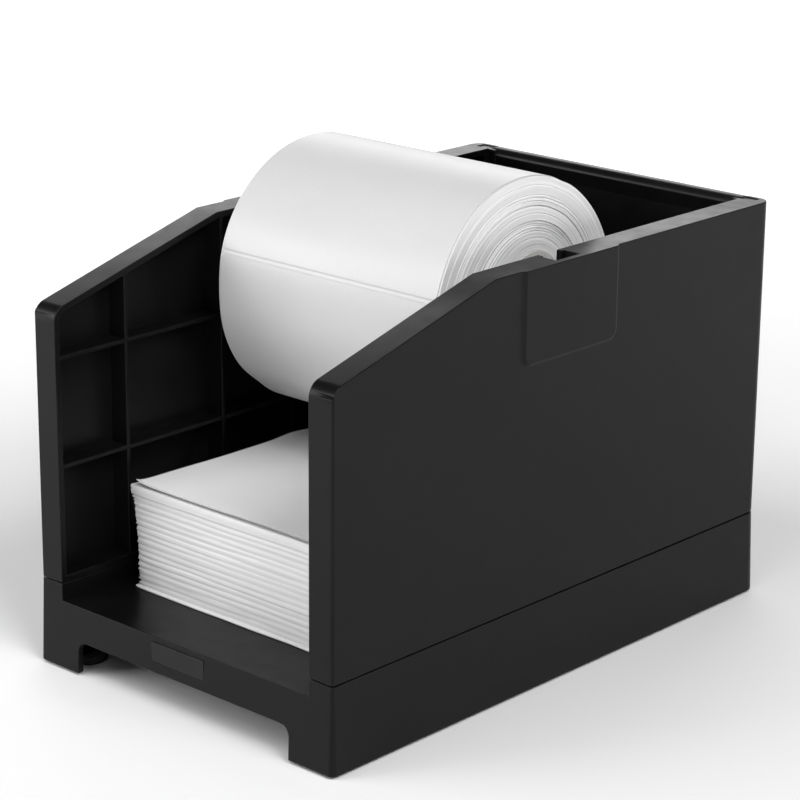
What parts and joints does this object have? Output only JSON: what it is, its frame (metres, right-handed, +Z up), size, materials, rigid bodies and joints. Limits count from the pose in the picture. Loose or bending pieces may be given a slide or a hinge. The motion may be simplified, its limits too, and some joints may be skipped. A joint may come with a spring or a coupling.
{
  "type": "label stand",
  "caption": "Free-standing label stand: base tray, ribbed side panels and back panel, a label roll on a lift-out spindle and a stack of fan-fold labels.",
  "frame": {"origin": "on the ground below the middle of the stand, midway between the side panels and between front and back", "axes": "+X to the right seen from the open front, +Y towards the back panel, +Z up"},
  "size_m": [0.1462, 0.2372, 0.1796],
  "materials": {
    "black_plastic": "fine moulded texture, satin",
    "badge_plastic": "satin",
    "spindle_plastic": "smooth satin",
    "foot_rubber": "matte",
    "screw_steel": "zinc plated",
    "core_board": "spiral wound board",
    "liner_paper": "silicone coated liner, cut edges",
    "label_paper": "thermal coated, faint satin"
  },
  "bodies": {
    "stand": {"base_tray": "black_plastic", "badge_plate": "badge_plastic", "left_side_panel": "black_plastic", "right_side_panel": "black_plastic", "back_panel": "black_plastic", "front_left_foot": "foot_rubber", "front_right_foot": "foot_rubber", "rear_left_foot": "foot_rubber", "rear_right_foot": "foot_rubber", "left_panel_screws": "screw_steel", "right_panel_screws": "screw_steel", "back_panel_screws": "screw_steel"},
    "spindle": {"spindle_tube": "spindle_plastic", "left_spindle_end": "spindle_plastic", "right_spindle_end": "spindle_plastic"},
    "roll": {"roll_core": "core_board", "roll_web": "liner_paper", "roll_labels": "label_paper"},
    "stack": {"fanfold_web": "liner_paper", "fanfold_label": "label_paper"}
  },
  "joints": [
    {"name": "spindle_lift", "type": "slide", "parent": "stand", "child": "spindle", "axis": [0, 0, 1], "range_m": [0, 0.1]},
    {"name": "roll_spin", "type": "hinge", "parent": "spindle", "child": "roll", "pos_m": [0, 0.00523, 0.13717], "axis": [1, 0, 0], "continuous": true},
    {"name": "stack_slide", "type": "slide", "parent": "stand", "child": "stack", "axis": [0, -1, 0], "range_m": [0, 0.18]}
  ]
}
